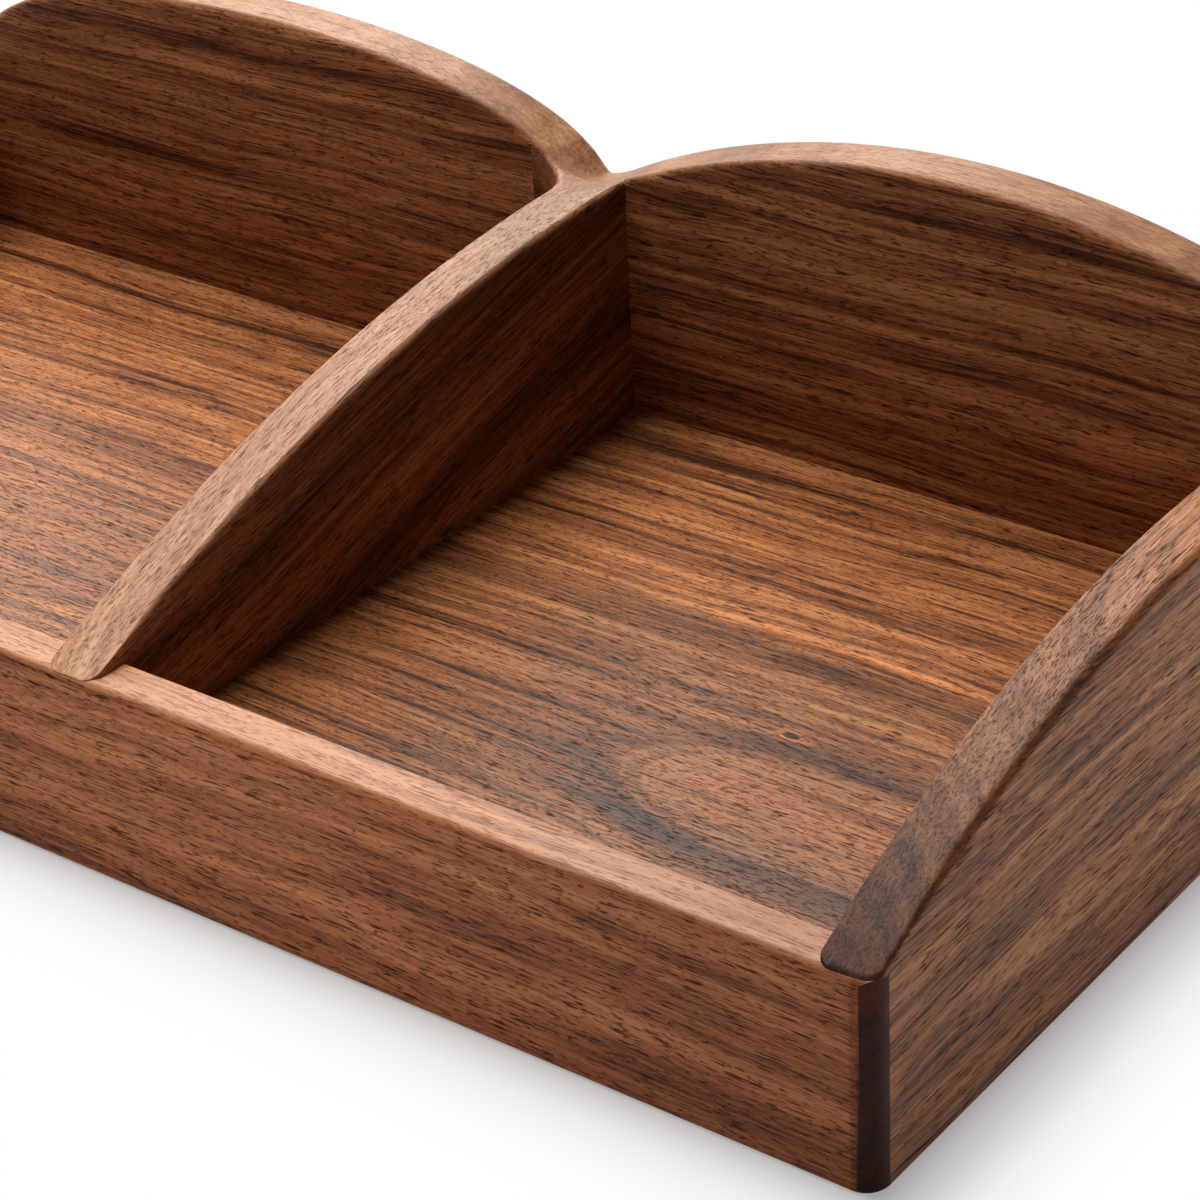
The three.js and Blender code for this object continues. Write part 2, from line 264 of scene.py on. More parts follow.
def walnut(name, turn, shift, heart, tones, figure=None, stain_and_painted_light=None, top_sheen_tint=None, contrast=2.6,
           pore_length=5.0, top_pores=0.55, rim_shade_tint=(0.75, 0.66, 0.6, 1.0), end_grain=(0.2, 0.75)):
    """Oiled walnut as solid wood. Turn lays the grain along X, shift moves the pattern along and across
    the tree, and heart is where the middle of the tree lies beside the board, all in millimetres. Tones
    are the dark, middle and light wood. Contrast is how far the pattern spreads over them, figure bends
    the rings, and a place function changes the tones from place to place, in the wood's own colour or as
    painted light and shade. The top tint is painted sheen: it lightens the faces that look up and makes
    their grain plainer, and top_pores is the share of their pores that still shows. The rim tint is
    painted shade, which makes round-overs darker than the faces beside them. End grain darkens as its
    face turns from the first to the second share."""
    material = bpy.data.materials.new(name)
    material.use_nodes = True
    tree = material.node_tree
    surface = tree.nodes["Principled BSDF"]
    surface.inputs["Specular IOR Level"].default_value = wood_gloss
    place = step(tree, "ShaderNodeTexCoord").outputs["Object"]
    log = step(tree, "ShaderNodeMapping", {"Vector": place, "Location": shift, "Rotation": turn,
                                           "Scale": (1 / MM, 1 / MM, 1 / MM)}).outputs["Vector"]

    # The fibres wander a few millimetres across the board over the length of a hand
    slow = vectors(tree, "MULTIPLY", log, (1 / 110, 1 / 30, 1 / 30))
    wander = vectors(tree, "SUBTRACT", noise(tree, slow, 2.0).outputs["Color"], (0.5, 0.5, 0.5))
    wander = vectors(tree, "MULTIPLY", wander, (0.0, 9.0, 9.0))
    grain = vectors(tree, "ADD", log, wander)

    # Growth rings round the heart of the tree, with bands and fine lines of uneven width
    from_heart = vectors(tree, "SUBTRACT", grain, heart)
    across = vectors(tree, "MULTIPLY", from_heart, (0.0, 1.0, 1.0))
    if figure:
        across = figure(tree, from_heart)
    age = vectors(tree, "LENGTH", across)
    bands = ring_noise(tree, age, 0.13, 1.0)
    lines = ring_noise(tree, age, 0.5, 3.0, 0.6)
    fibres = grain_noise(tree, grain, 0.03, 2.0, 3.0)
    streaks = grain_noise(tree, grain, 0.012, 0.45, 2.0)
    clouds = grain_noise(tree, grain, 0.02, 0.11, 1.0)

    # Pores, fainter where a face cuts across the grain
    normal = step(tree, "ShaderNodeNewGeometry").outputs["Normal"]
    facing = step(tree, "ShaderNodeMapping", {"Vector": normal, "Rotation": turn}, vector_type="NORMAL")
    facing = step(tree, "ShaderNodeSeparateXYZ", {0: facing.outputs["Vector"]}).outputs
    along = maths(tree, "ABSOLUTE", facing["X"])
    long_pores = flecks(tree, grain, pore_length, long_pore_width, 0.585, 0.68)
    short_pores = flecks(tree, grain, short_pore_length * pore_length, short_pore_width, 0.59, 0.68)
    pores = maths(tree, "MAXIMUM", long_pores, maths(tree, "MULTIPLY", short_pores, 0.85))
    pores = maths(tree, "MULTIPLY", pores, share(tree, along, 0.1, 0.5, 1.0, 0.4))
    # Painted sheen on the faces that look up, which hides some of their pores
    sheen_on_top = share(tree, facing["Z"], 0.45, 0.9)
    if top_sheen_tint:
        pores = maths(tree, "MULTIPLY", pores, maths(tree, "MULTIPLY_ADD", sheen_on_top, top_pores - 1.0, 1.0))

    # Colour: the patterns together, weighted so that their middle is 1, are spread over the tones
    mix = 0.0
    for pattern, weight in ((lines, 0.4), (bands, 0.35), (fibres, 0.65), (streaks, 0.4), (clouds, 0.2)):
        mix = maths(tree, "MULTIPLY_ADD", pattern, weight, mix)
    mix = maths(tree, "MULTIPLY_ADD", maths(tree, "SUBTRACT", mix, 1.0), contrast, 0.5, clamp=True)
    # Painted sheen: the faces that look up have plainer grain
    if top_sheen_tint:
        to_middle = maths(tree, "MULTIPLY", maths(tree, "SUBTRACT", 0.5, mix), 0.45)
        mix = maths(tree, "MULTIPLY_ADD", to_middle, sheen_on_top, mix)
    ramp = step(tree, "ShaderNodeValToRGB", {"Fac": mix})
    stops = ramp.color_ramp.elements
    stops.new(0.5)
    for stop, colour in zip(stops, tones):
        stop.color = colour
    colour = ramp.outputs["Color"]
    # Wood colour, or on some boards painted light and shade, that changes from place to place
    if stain_and_painted_light:
        colour = blended(tree, "MULTIPLY", 1.0, colour, stain_and_painted_light(tree, log, grain, age))
    # Painted sheen: the faces that look up are lighter
    if top_sheen_tint:
        colour = blended(tree, "MULTIPLY", sheen_on_top, colour, top_sheen_tint)
    colour = blended(tree, "MULTIPLY", maths(tree, "MULTIPLY", pores, 0.92), colour, pore_tint)
    # Painted shade: round-overs are darker than the faces beside them
    shaded_rim = maths(tree, "MULTIPLY", maths(tree, "ABSOLUTE", facing["Y"]), facing["Z"])
    colour = blended(tree, "MULTIPLY", share(tree, shaded_rim, 0.2, 0.45), colour, rim_shade_tint)

    # End grain drinks more oil and is darker, in patches
    if end_grain:
        patches = grain_noise(tree, log, 0.0, 0.1, 2.0)
        soaked = blended(tree, "MIX", share(tree, patches, 0.45, 0.6), soaked_dark, soaked_light)
        colour = blended(tree, "MULTIPLY", share(tree, along, *end_grain, 0.0, 0.95), colour, soaked)
    tree.links.new(colour, surface.inputs["Base Color"])

    # Satin oil finish: pores stay open and dull
    dull = maths(tree, "MULTIPLY_ADD", fibres, 0.16, 0.32)
    dull = maths(tree, "MULTIPLY_ADD", pores, 0.3, dull)
    tree.links.new(dull, surface.inputs["Roughness"])
    relief = maths(tree, "MULTIPLY_ADD", pores, -1.0, maths(tree, "MULTIPLY", fibres, 0.25))
    bump = step(tree, "ShaderNodeBump", {"Height": relief, "Strength": 0.4, "Distance": 0.1 * MM})
    tree.links.new(bump.outputs["Normal"], surface.inputs["Normal"])
    return material


along_x = (0.0, 0.0, 0.0)
along_y = (0.0, 0.0, -math.pi / 2)


def front_edge_waste():
    """What a round-over bit takes off along the front board's outer top edge. It runs out at the corners."""
    round_axis = Vector((0.0, front_low.y + front_round_over, front_high.z - front_round_over))
    waste = block(Vector((front_low.x - overrun, front_low.y - overrun, round_axis.z)),
                  Vector((front_high.x + overrun, round_axis.y, front_high.z + overrun)))
    rod = bmesh.new()
    bmesh.ops.create_cone(rod, cap_ends=True, segments=round_over_sides, radius1=front_round_over,
                          radius2=front_round_over, depth=4 * front_high.x)
    bmesh.ops.rotate(rod, matrix=Matrix.Rotation(math.pi / 2, 3, "Y"), verts=rod.verts)
    bmesh.ops.translate(rod, vec=round_axis, verts=rod.verts)
    return cut(waste, rod)


def rabbet(side_low, side_high):
    """The room for a side's front end in the front board, behind the rounded corner."""
    return block(Vector((side_low.x, rabbet_depth_y, -overrun)),
                 Vector((side_high.x, front_high.y + overrun, front_high.z + overrun)))


front_blank = block(front_low, front_high)
front_uprights = edges_where(front_blank, lambda co: near(co.y, front_low.y))
front_uprights = [edge for edge in front_uprights if not near(edge.verts[0].co.z, edge.verts[1].co.z)]
round_over(front_blank, front_uprights, upright_corner_radius, upright_steps)
front_foot_end = rabbet_depth_y + same_place
front_foot = edges_where(front_blank, lambda co: near(co.z, front_low.z) and co.y < front_foot_end)
round_over(front_blank, front_foot, bottom_ease, bottom_ease_steps)
front_arris = edges_where(front_blank, lambda co: near(co.z, front_high.z) and near(co.y, front_high.y))
round_over(front_blank, front_arris, arris_ease, arris_steps)
front_shape = cut(front_blank, front_edge_waste(), rabbet(right_low, right_high + past_end),
                  rabbet(left_low - past_end, left_high), groove(), pin_holes())
front_tones = (tone(94, 50, 30), tone(174, 102, 62), tone(208, 136, 88))
# Painted sheen on the front board's top: lighter, with plainer grain
front_top_sheen_tint = (1.3, 1.85, 2.6, 1.0)
front_end_x = (front_high.x - upright_corner_radius) / MM
plain = (1.0, 1.0, 1.0, 1.0)
front_dark_tint = (0.77, 0.77, 0.8, 1.0)
# At the corners the wood is darker: end grain that draws in more oil, and painted shade on the rounded
# corners
front_end_oil_and_shade_tint = (0.7, 0.6, 0.5, 1.0)


def changed_along(tree, log, start, end, first_tint, last_tint):
    """A tint that changes along the grain, between a start and an end in millimetres."""
    x = step(tree, "ShaderNodeSeparateXYZ", {0: log}).outputs["X"]
    return blended(tree, "MIX", share(tree, x, start, end), first_tint, last_tint)


def front_stain_and_shade(tree, log, grain, age):
    """The wood is darker towards the right. At the corners it is darker still, partly end grain that has
    drawn in more oil and partly painted shade on the rounded corners.
    """
    colour = changed_along(tree, log, 75.0, 155.0, plain, front_dark_tint)
    x = step(tree, "ShaderNodeSeparateXYZ", {0: log}).outputs["X"]
    at_end = share(tree, maths(tree, "ABSOLUTE", x), front_end_x - 0.5, front_end_x + 0.5)
    return blended(tree, "MULTIPLY", at_end, colour, front_end_oil_and_shade_tint)


front_walnut = walnut("front_walnut", along_x, (0.0, 0.0, 0.0), (0.0, 46.0, -34.0), front_tones,
                      stain_and_painted_light=front_stain_and_shade, top_sheen_tint=front_top_sheen_tint, contrast=2.2, end_grain=(0.12, 0.3))
add_piece("front", front_shape, "front_board", front_walnut)


# Back board
# One walnut board across the whole back, bandsawn to one low arch over each compartment with a valley
# between them. It is glued to the divider and sanded together with it, so their tops and the round-over
# along their rims are one surface, with a cove in the corner of the left compartment.

back_low, back_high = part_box("back_board")
divider_low, divider_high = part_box("centre_divider")
arch_height = back_high.z
arch_spring_height = 61 * MM
arch_foot_blend = 3 * MM
valley_height = 69.5 * MM
back_round_over = 1.5 * MM
divider_back_height = 74.5 * MM
divider_fairing = 13 * MM
divider_cove = 12 * MM
divider_right_round = 1.5 * MM
divider_left_round = 0.7 * MM
nose_setback = 0.8 * MM
nose_tip_drop = 0.1 * MM
nose_front = front_low.y + nose_setback
nose_tip_height = front_high.z - nose_tip_drop
divider_nose_left_radius = 2.4 * MM
divider_nose_right_radius = 3 * MM
divider_nose_rounding = 0.1
nose_rounding_run = 25 * MM
rim_lines = [distance * MM for distance in (0.12, 0.4, 0.8, 1.25, 1.75, 2.3)]
arch_step = 2.5 * MM
foot_step = 0.5 * MM
foot_reach = 6 * MM
joint_reach = 16 * MM
sweep_steps = 60
corner_steps = 8
square_angle = math.radians(60)

# An arch's middle, half its span, and its fullness: 1 is a parabola, 2 a half ellipse
left_arch = ((left_high.x + divider_low.x) / 2, 85 * MM, 2.6)
right_arch = ((divider_high.x + right_low.x) / 2, 95 * MM, 1.2)
arch_rise = arch_height - arch_spring_height


def eased(value, low, high):
    """How far a value is from low to high, from 0 to 1, eased at both ends."""
    part = min(max((value - low) / (high - low), 0.0), 1.0)
    return part * part * (3 - 2 * part)


def blended_higher(first, second):
    """The higher of two heights, with a soft concave blend where they meet."""
    overlap = max(arch_foot_blend - abs(first - second), 0.0)
    return max(first, second) + overlap * overlap / (4 * arch_foot_blend)


def back_outline(x, valley):
    """The back board's height at x: an arch, or beyond its foot the level of the valley or the side."""
    height = valley if left_arch[0] < x < right_arch[0] else right_high.z
    for middle, half_span, fullness in (left_arch, right_arch):
        away = min(abs(x - middle) / half_span, 1.0)
        arch = arch_spring_height + arch_rise * (1 - away * away) ** (1 / fullness)
        height = blended_higher(height, arch)
    return height


def sweep(back_end_height, level_run):
    """A swept top's height along Y: one circular arc from the nose, level for the last part of its run."""
    level_start = back_low.y - level_run
    run = level_start - nose_front
    rise = back_end_height - nose_tip_height
    radius = (run ** 2 + rise ** 2) / (2 * rise)

    def height(y):
        away = max(level_start - y, 0.0)
        return back_end_height - radius + math.sqrt(radius ** 2 - away ** 2)
    return height


divider_sweep = sweep(divider_back_height, 0.0)


def top_height(x, y):
    """The height of the joined tops: the divider's sweep rises into the arches beside it, and falls towards
    the rear into the valley, later on its left than on its right."""
    level = back_outline(x, divider_back_height)
    into_arches = eased(y, back_low.y - divider_fairing, back_low.y) * (level - divider_back_height)
    fall_start = back_low.y - divider_fairing * eased(x, divider_low.x - divider_cove, divider_high.x)
    fallen = eased(y, fall_start, back_high.y - back_round_over)
    into_valley = fallen * (back_outline(x, valley_height) - level)
    return divider_sweep(y) + into_arches + into_valley


def left_at_nose(y, at_tip):
    """The share of a round-over that is left towards the nose, down to its share at the tip."""
    return at_tip + (1 - at_tip) * eased(y, nose_front, nose_front + nose_rounding_run)


def tops_rim_radius(x, y):
    """The round-over's radius: small along the divider, least at its nose, larger along the back board."""
    on_right = x > (divider_low.x + divider_high.x) / 2
    along_divider = divider_right_round if on_right else divider_left_round
    along_divider *= left_at_nose(y, divider_nose_rounding)
    return along_divider + eased(y, back_low.y - joint_reach, back_low.y) * (back_round_over - along_divider)


def arch_foot(arch, level):
    """How far from its middle an arch comes down to a level."""
    middle, half_span, fullness = arch
    return half_span * math.sqrt(1 - ((level - arch_spring_height) / arch_rise) ** fullness)


def top_sheet(plan, round_corners, cuts, height, rim_radius):
    """A top as a sheet: its plan with some corners rounded, lines along its rims for the round-over, and
    cuts across it, all lifted to its height."""
    sheet = bmesh.new()
    from_rim = sheet.verts.layers.float.new("from_rim")
    sheet.faces.new([sheet.verts.new((x, y, 0.0)) for x, y in plan])
    for corner, radius in round_corners.items():
        x, y = plan[corner]
        at_corner = [vert for vert in sheet.verts if near(vert.co.x, x) and near(vert.co.y, y)]
        bmesh.ops.bevel(sheet, geom=at_corner, offset=radius, offset_type="ABSOLUTE", segments=corner_steps,
                        profile=0.5, affect="VERTICES", material=-1, clamp_overlap=False)
    sheet.faces.ensure_lookup_table()
    inside_rims = sheet.faces[0]
    reached = 0.0
    for distance in rim_lines:
        bmesh.ops.inset_region(sheet, faces=[inside_rims], thickness=distance - reached, use_boundary=True,
                               use_even_offset=True)
        reached = distance
        for vert in inside_rims.verts:
            vert[from_rim] = distance
    for place, direction in cuts:
        bmesh.ops.bisect_plane(sheet, geom=[*sheet.verts, *sheet.edges, *sheet.faces], dist=weld_distance,
                               plane_co=place, plane_no=direction)
    for vert in sheet.verts:
        radius = rim_radius(vert.co.x, vert.co.y)
        into_round = radius - min(vert[from_rim], radius)
        vert.co.z = height(vert.co.x, vert.co.y) - radius + math.sqrt(radius ** 2 - into_round ** 2)
    return sheet


def carried_down(sheet, base_height):
    """Makes a sheet into a solid board that stands on a flat base."""
    carried = bmesh.ops.extrude_face_region(sheet, geom=sheet.faces[:])["geom"]
    for vert in carried:
        if isinstance(vert, bmesh.types.BMVert):
            vert.co.z = base_height
    bmesh.ops.dissolve_faces(sheet, faces=[face for face in carried if isinstance(face, bmesh.types.BMFace)])
    bmesh.ops.recalc_face_normals(sheet, faces=sheet.faces)
    return sheet


# The tops of the back board and the divider as one sheet seen from above
tops_plan = [
    (back_low.x, back_low.y), (divider_low.x, back_low.y), (divider_low.x, nose_front),
    (divider_high.x, nose_front), (divider_high.x, back_low.y), (back_high.x, back_low.y),
    (back_high.x, back_high.y), (back_low.x, back_high.y),
]
tops_round_corners = {
    1: divider_cove, 2: divider_nose_left_radius, 3: divider_nose_right_radius,
    6: upright_corner_radius, 7: upright_corner_radius,
}

# Cuts across the sheet, close together at the feet of the arches and at the joint
arch_feet = [
    left_arch[0] - arch_foot(left_arch, right_high.z),
    left_arch[0] + arch_foot(left_arch, valley_height),
    right_arch[0] - arch_foot(right_arch, valley_height),
    right_arch[0] + arch_foot(right_arch, right_high.z),
]
cuts_across = []
station = back_low.x + arch_step
while station < back_high.x - foot_step:
    cuts_across.append(((station, 0.0, 0.0), (1.0, 0.0, 0.0)))
    at_foot = any(abs(station - foot) < foot_reach for foot in arch_feet)
    station += foot_step if at_foot else arch_step
sweep_step = (back_low.y - nose_front) / sweep_steps
station = nose_front + sweep_step
while station < back_high.y:
    cuts_across.append(((0.0, station, 0.0), (0.0, 1.0, 0.0)))
    station += sweep_step if station < back_low.y - joint_reach else sweep_step / 2
cuts_across.append(((0.0, back_low.y, 0.0), (0.0, 1.0, 0.0)))
tops = top_sheet(tops_plan, tops_round_corners, cuts_across, top_height, tops_rim_radius)


def board_under_top(of_divider, base_height):
    """One of the two boards: its part of the joined tops, carried down to its base."""
    part = tops.copy()
    other_faces = [face for face in part.faces if (face.calc_center_median().y < back_low.y) != of_divider]
    bmesh.ops.delete(part, geom=other_faces, context="FACES")
    return carried_down(part, base_height)


back_blank = board_under_top(False, back_low.z)
back_foot_start = back_high.y - upright_corner_radius - same_place
back_foot = edges_where(back_blank, lambda co: near(co.z, back_low.z) and co.y > back_foot_start)
back_foot = [edge for edge in back_foot if edge.calc_face_angle() > square_angle]
round_over(back_blank, back_foot, bottom_ease, bottom_ease_steps)
back_tones = (tone(78, 42, 26), tone(156, 98, 60), tone(202, 142, 96))
# Painted sheen on the back board's top
back_top_sheen_tint = (1.0, 1.2, 1.45, 1.0)
back_walnut = walnut("back_walnut", along_x, (230.0, 0.0, 0.0), (0.0, 60.0, -120.0), back_tones,
                     top_sheen_tint=back_top_sheen_tint, end_grain=(0.85, 0.98))
add_piece("back", cut(back_blank, groove(), pin_holes()), "back_board", back_walnut)


# Right and left sides
# Walnut boards with a long swept top, routed round on the outside. Each is pinned into the front board's
# rabbet and to the back board, whose round-over it is coped to. Its nose laps over the front board's top.

side_level_run = 48 * MM
coped_reach = 0.9 * MM
side_round_over = 2 * MM
side_nose_outer_radius = 2.8 * MM
side_nose_inner_radius = 2.5 * MM
side_nose_rounding = 0.4
side_rim_change = 3 * MM
side_spare_length = 6 * MM
side_sweep = sweep(right_high.z, side_level_run)
side_end_y = back_low.y + side_spare_length
side_step = (side_end_y - nose_front) / sweep_steps
side_cuts = [((0.0, nose_front + k * side_step, 0.0), (0.0, 1.0, 0.0)) for k in range(1, sweep_steps)]


def front_board_room(back_y):
    """The room that the front board takes up under its round-over, as far back as it meets its neighbour."""
    room = block(Vector((left_low.x - overrun / 2, front_low.y - overrun / 2, -overrun)),
                 Vector((right_high.x + overrun / 2, back_y, front_high.z)))
    return cut(room, front_edge_waste())


def back_board_room():
    """The room that the back board takes up, run on past its ends and its foot to cut the sides clean."""
    room = board_under_top(False, -overrun)
    for vert in room.verts:
        if near(abs(vert.co.x), back_high.x):
            vert.co.x += math.copysign(overrun, vert.co.x)
    return room


def side_top_height(x, y):
    """The sweep, which dips out of the way inside the back board."""
    return side_sweep(y) - max(y - back_low.y - coped_reach, 0.0)


def side_board(low, high, outer):
    """A side from its lowest to its highest corner, with its outer face on the right (1) or left (-1)."""
    middle = (low.x + high.x) / 2

    def rim_radius(x, y):
        outside = eased((x - middle) * outer, -side_rim_change, side_rim_change)
        full_radius = arris_ease + outside * (side_round_over - arris_ease)
        return full_radius * left_at_nose(y, side_nose_rounding)

    plan = [(low.x, nose_front), (high.x, nose_front), (high.x, side_end_y), (low.x, side_end_y)]
    nose_radii = [side_nose_inner_radius, side_nose_outer_radius][::outer]
    top = top_sheet(plan, dict(enumerate(nose_radii)), side_cuts, side_top_height, rim_radius)
    blank = carried_down(top, low.z)
    foot = edges_where(blank, lambda co: near(co.z, low.z) and (co.x - middle) * outer > 0)
    foot = [edge for edge in foot if edge.calc_face_angle() > square_angle]
    round_over(blank, foot, bottom_ease, bottom_ease_steps)
    return cut(blank, front_board_room(rabbet_depth_y), groove(), pin_holes(), back_board_room())


# Painted sheen along the right side: darker at the front, lighter towards the back
side_front_shade_tint = (0.92, 0.88, 0.86, 1.0)
side_back_sheen_tint = (1.25, 1.24, 1.24, 1.0)


def right_painted_sheen(tree, log, grain, age):
    """Painted sheen: the side is lighter towards the back and darker at the front."""
    return changed_along(tree, log, -25.0, 95.0, side_front_shade_tint, side_back_sheen_tint)


side_pore_length = 8.0
right_tones = (tone(76, 46, 30), tone(148, 96, 62), tone(194, 136, 92))
left_tones = (tone(78, 46, 30), tone(150, 98, 64), tone(194, 138, 96))
# Painted shade on the sides' round-overs, darker than on the other boards
side_rim_shade_tint = (0.42, 0.33, 0.27, 1.0)
right_walnut = walnut("right_side_walnut", along_y, (40.0, 0.0, 0.0), (0.0, -160.0, 20.0), right_tones,
                      stain_and_painted_light=right_painted_sheen, pore_length=side_pore_length, rim_shade_tint=side_rim_shade_tint,
                      end_grain=(0.1, 0.58))
left_walnut = walnut("left_side_walnut", along_y, (-310.0, 0.0, 0.0), (0.0, 140.0, 60.0), left_tones,
                     pore_length=side_pore_length, rim_shade_tint=side_rim_shade_tint)
add_piece("right", side_board(right_low, right_high, 1), "right_side", right_walnut)
add_piece("left", side_board(left_low, left_high, -1), "left_side", left_walnut)


# Floor panel
# One thin walnut panel under both compartments, loose in the grooves so that it can swell and shrink.
# It is flat-sawn: towards its front right the rings open into a long pointed figure with a small knot.

panel_tones = (tone(66, 38, 23), tone(156, 94, 54), tone(202, 134, 82))
grey_tint = (0.74, 0.78, 0.86, 1.0)
corner_tint = (0.72, 0.74, 0.78, 1.0)
line_tint = (1.4, 1.4, 1.35, 1.0)
core_tint = (0.84, 0.8, 0.8, 1.0)
ring_tint = (0.35, 0.31, 0.3, 1.0)
knot_tint = (0.12, 0.1, 0.1, 1.0)
knot_rim_tint = (1.35, 1.3, 1.2, 1.0)

# Places on the panel's face and distances from the heart, in millimetres
panel_heart = (0.0, -32.7, 24.0)
figure_tip_x = 86.0
figure_open_x = 124.0
heart_depth_deep = 16.2
heart_depth_shallow = 4.0
ring_radius = 18.5
ring_half_width = 4.8
core_radius = 12.0
light_line_y = 16.0
light_line_half_width = 1.5
smudge_place = (114.0, 8.0)
knot_place = (112.0, -12.5)


def pointed_figure(tree, from_heart):
    """The heart of the tree comes up towards the panel's face on the right, so the rings open out there."""
    parts = step(tree, "ShaderNodeSeparateXYZ", {0: from_heart})
    depth = share(tree, parts.outputs["X"], figure_tip_x, figure_open_x,
                  heart_depth_deep, heart_depth_shallow)
    return step(tree, "ShaderNodeCombineXYZ", {"Y": parts.outputs["Y"], "Z": depth}).outputs[0]


def spot(tree, log, middle, stretch, inner, outer):
    """How near the wood is to a spot of the floor's face, which is longer along the grain."""
    away = vectors(tree, "MULTIPLY", vectors(tree, "SUBTRACT", log, (*middle, 0.0)), (1 / stretch, 1.0, 0.0))
    return share(tree, vectors(tree, "LENGTH", away), inner, outer, 1.0, 0.0)


def panel_stain(tree, log, grain, age):
    """Greyer wood in front with a dark ring and a small knot, and a bright line before the redder wood."""
    x, y = step(tree, "ShaderNodeSeparateXYZ", {0: log}).outputs[:2]
    opened = share(tree, x, 70.0, 110.0)
    in_front = maths(tree, "MULTIPLY", share(tree, y, 15.5, 12.0), share(tree, x, 5.0, 70.0))
    colour = blended(tree, "MIX", in_front, plain, grey_tint)
    off_line = maths(tree, "ABSOLUTE", maths(tree, "SUBTRACT", y, light_line_y))
    line = share(tree, off_line, 0.2 * light_line_half_width, light_line_half_width, 1.0, 0.0)
    line = maths(tree, "MULTIPLY", line, share(tree, x, 70.0, 95.0))
    colour = blended(tree, "MIX", line, colour, line_tint)
    core = maths(tree, "MULTIPLY", share(tree, age, core_radius, core_radius - 4.0), opened)
    colour = blended(tree, "MIX", core, colour, core_tint)
    in_corner = maths(tree, "MULTIPLY", share(tree, x, 95.0, 150.0), share(tree, y, -15.0, -60.0))
    colour = blended(tree, "MULTIPLY", in_corner, colour, corner_tint)

    # The ring is dark in patches, and a smudge lies behind it
    smoke = share(tree, grain_noise(tree, grain, 0.06, 0.3, 3.0), 0.3, 0.6, 0.6, 1.0)
    off_ring = maths(tree, "ABSOLUTE", maths(tree, "SUBTRACT", age, ring_radius))
    ring = share(tree, off_ring, 0.3 * ring_half_width, ring_half_width, 1.0, 0.0)
    ring = maths(tree, "MULTIPLY", ring, maths(tree, "MULTIPLY", opened, smoke))
    smudge = maths(tree, "MULTIPLY", spot(tree, log, smudge_place, 3.6, 0.5, 5.0), 0.6)
    colour = blended(tree, "MULTIPLY", maths(tree, "MAXIMUM", ring, smudge), colour, ring_tint)

    # The knot, with light wood round it
    knot = spot(tree, log, knot_place, 1.7, 0.6, 1.1)
    knot_rim = maths(tree, "SUBTRACT", spot(tree, log, knot_place, 2.4, 1.3, 2.4), knot)
    colour = blended(tree, "MIX", maths(tree, "MULTIPLY", knot_rim, 0.7), colour, knot_rim_tint)
    return blended(tree, "MULTIPLY", knot, colour, knot_tint)


panel = block(floor_low, floor_high)
round_over(panel, panel.edges[:], arris_ease, arris_steps)
panel_walnut = walnut("floor_walnut", along_x, (0.0, 0.0, 0.0), panel_heart, panel_tones,
                      figure=pointed_figure, stain_and_painted_light=panel_stain, pore_length=3.6)
add_piece("floor", panel, "floor_panel", panel_walnut)


# Divider
# A walnut board swept like the sides but higher at the back, glued and pinned to the back board, where it
# falls into the valley. It stands on the floor panel, and its nose laps over the front board.

divider_tones = (tone(70, 39, 24), tone(146, 94, 61), tone(192, 138, 98))
# Painted sheen on the divider's top
divider_top_sheen_tint = (1.6, 2.0, 2.65, 1.0)
# Painted light and shade along the divider: lighter at the front, darker towards the back by the back board
divider_front_lit_tint = (1.18, 1.2, 1.25, 1.0)
divider_back_shade_tint = (0.74, 0.72, 0.7, 1.0)
divider_grain_rise = math.radians(14)
divider_grain = (-divider_grain_rise, 0.0, -math.pi / 2)


def divider_painted_shade(tree, log, grain, age):
    """Painted light and shade: lighter at the front, and darker towards the back, where the back board
    shades it.
    """
    return changed_along(tree, log, 100.0, 235.0, divider_front_lit_tint, divider_back_shade_tint)


divider_walnut = walnut("divider_walnut", divider_grain, (150.0, 0.0, 0.0), (0.0, 60.0, -50.0),
                        divider_tones, stain_and_painted_light=divider_painted_shade, top_sheen_tint=divider_top_sheen_tint, contrast=2.1,
                        top_pores=0.75, end_grain=None)
divider_shape = cut(board_under_top(True, divider_low.z), front_board_room(front_high.y), pin_holes())
add_piece("divider", divider_shape, "centre_divider", divider_walnut)
tops.free()


# Dowel pins
# Beech pins glued into the blind holes of the butt joints, hidden in the wood. They keep their CAD shape.

beech_dark = tone(176, 138, 98)
beech_light = tone(222, 190, 148)
beech_rates = Vector((2.2, 0.09, 2.2)) / MM
beech = bpy.data.materials.new("beech_pin")
beech.use_nodes = True
beech_tree = beech.node_tree
beech_surface = beech_tree.nodes["Principled BSDF"]
beech_place = step(beech_tree, "ShaderNodeTexCoord").outputs["Object"]
beech_grain = vectors(beech_tree, "MULTIPLY", beech_place, beech_rates)
beech_fibres = noise(beech_tree, beech_grain, 3.0).outputs[0]
beech_colour = blended(beech_tree, "MIX", beech_fibres, beech_dark, beech_light)
beech_dull = maths(beech_tree, "MULTIPLY_ADD", beech_fibres, 0.2, 0.55)
beech_tree.links.new(beech_colour, beech_surface.inputs["Base Color"])
beech_tree.links.new(beech_dull, beech_surface.inputs["Roughness"])
for name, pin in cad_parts.items():
    if name.startswith("dowel_"):
        pin.material_slots[0].material = beech


# Table and light
# A plain white table that fades into white beside the box's contact shadow, under one soft box above and a
# little behind. Low strip lamps reach only the outer faces, so the inside of the box stays dark, and a card
# behind the box shows only in the sheen of the wood.

